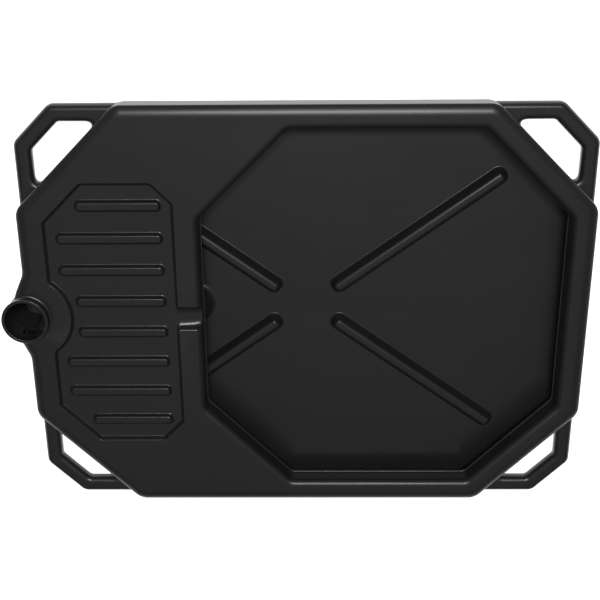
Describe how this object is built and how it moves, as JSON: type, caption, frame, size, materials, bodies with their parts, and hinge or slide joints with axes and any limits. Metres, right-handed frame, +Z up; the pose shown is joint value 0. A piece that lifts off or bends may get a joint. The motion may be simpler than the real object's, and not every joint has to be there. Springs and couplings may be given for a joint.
{
  "type": "oil drain pan",
  "caption": "Low eight-sided oil drain pan with a lipped basin opening, ribbed drip tray, open pour neck and grab handles at the corners.",
  "frame": {"origin": "centre of the eight-sided body on the plane that the base rests on", "axes": "+X towards the basin end, away from the pour neck; +Y towards the back; +Z up"},
  "size_m": [0.6756, 0.492, 0.0615],
  "materials": {
    "body_plastic": "satin black moulded polyethylene with a fine mould grain"
  },
  "bodies": {
    "root": {"lower_pan": "body_plastic", "top_deck": "body_plastic", "drip_tray": "body_plastic", "drain_channel": "body_plastic", "pour_neck": "body_plastic", "support_post": "body_plastic", "handle_back_right": "body_plastic", "handle_back_left": "body_plastic", "handle_front_left": "body_plastic", "handle_front_right": "body_plastic"}
  },
  "joints": []
}
